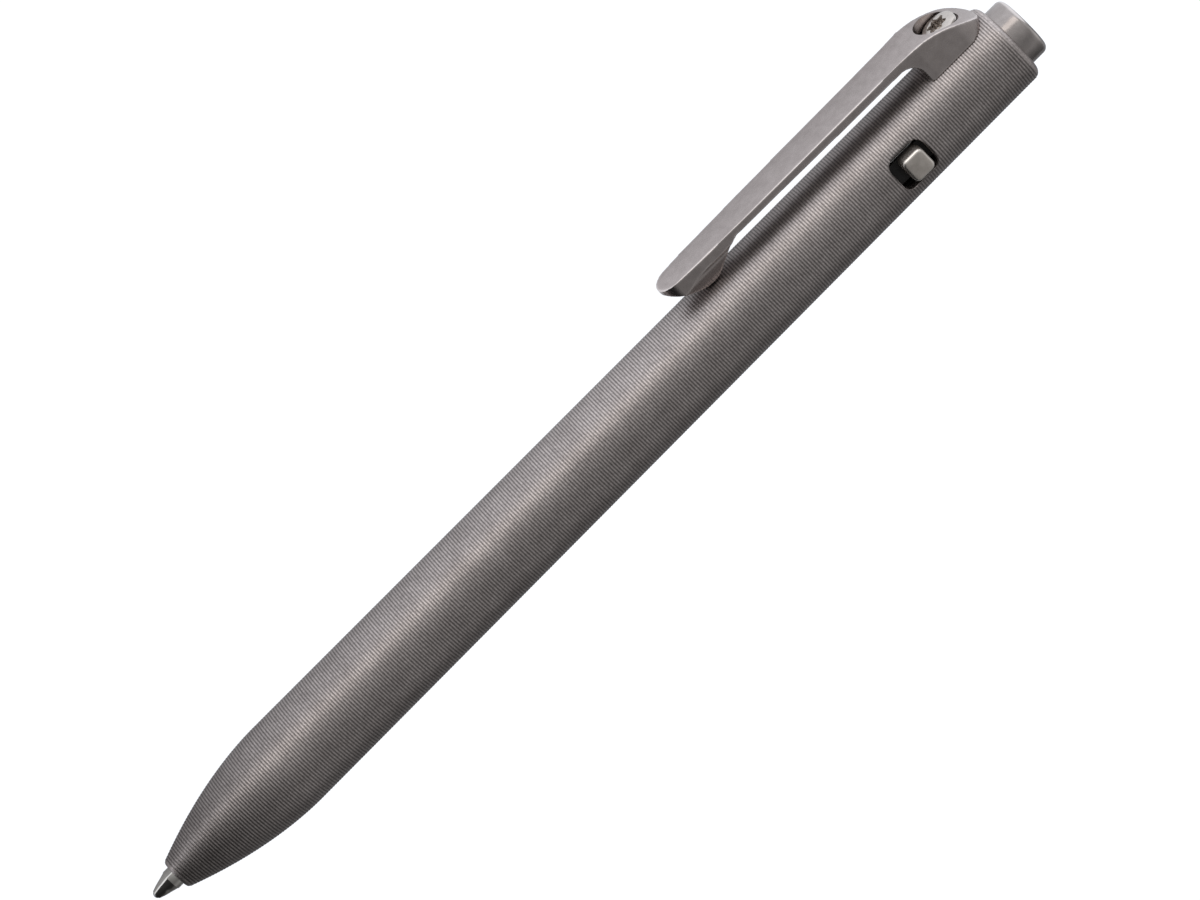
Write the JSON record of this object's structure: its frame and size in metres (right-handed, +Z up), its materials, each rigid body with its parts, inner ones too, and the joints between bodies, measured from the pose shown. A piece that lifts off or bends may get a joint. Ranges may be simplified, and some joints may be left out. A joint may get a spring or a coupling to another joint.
{
  "type": "side-click pen",
  "caption": "Retractable ballpoint pen with a grooved metal barrel, a pocket clip, an end button that locks the refill out and a side button that lets it back.",
  "frame": {"origin": "centre of the end button's flat face, on the pen's axis, with the refill locked out", "axes": "+X along the pen's axis towards the writing ball, +Z up with the pen lying on its barrel and on the clip's corner, -Y towards the clip"},
  "size_m": [0.1355, 0.0149, 0.0113],
  "materials": {
    "barrel_titanium": "turned titanium with fine grooves, satin",
    "tumbled_titanium": "tumbled titanium, soft satin",
    "refill_nickel": "turned nickel silver, bright",
    "refill_brass": "turned brass",
    "refill_steel": "drawn tube",
    "spring_steel": "drawn wire and ground steel",
    "dark_steel": "blackened steel",
    "oring_rubber": "matt",
    "refill_plastic": "moulded",
    "ink": "wet paste"
  },
  "bodies": {
    "rear_body": {"rear_barrel": "barrel_titanium", "clip": "tumbled_titanium", "clip_screw": "tumbled_titanium", "latch_housing": "dark_steel", "latch_spring": "spring_steel", "lock_ring": "refill_brass"},
    "front_body": {"front_barrel": "barrel_titanium", "joint_oring": "oring_rubber", "return_spring": "spring_steel"},
    "knock_body": {"plunger_head": "tumbled_titanium", "plunger_stem": "spring_steel", "plunger_foot": "refill_brass"},
    "refill_body": {"refill_tube": "refill_steel", "refill_neck": "refill_brass", "refill_tip": "refill_nickel", "refill_ball": "spring_steel", "ink_column": "ink", "refill_end_cap": "refill_plastic"},
    "button_body": {"side_button": "tumbled_titanium"}
  },
  "joints": [
    {"name": "knock_slide", "type": "slide", "parent": "rear_body", "child": "knock_body", "axis": [-1, 0, 0], "range_m": [-0.0008, 0.0045], "deforming": ["return_spring", "latch_spring"]},
    {"name": "refill_slide", "type": "slide", "parent": "rear_body", "child": "refill_body", "axis": [-1, 0, 0], "range_m": [-0.0008, 0.0045]},
    {"name": "side_button_press", "type": "slide", "parent": "rear_body", "child": "button_body", "axis": [0, 0.2801, -0.96], "range_m": [0, 0.0007], "stiffness_N_per_m": 1000, "deforming": ["latch_spring"]},
    {"name": "front_barrel_draw_off", "type": "slide", "parent": "rear_body", "child": "front_body", "axis": [1, 0, 0], "range_m": [0, 0.075]}
  ],
  "couplings": [
    {"joint": "refill_slide", "follows": "knock_slide", "ratio": 1}
  ]
}
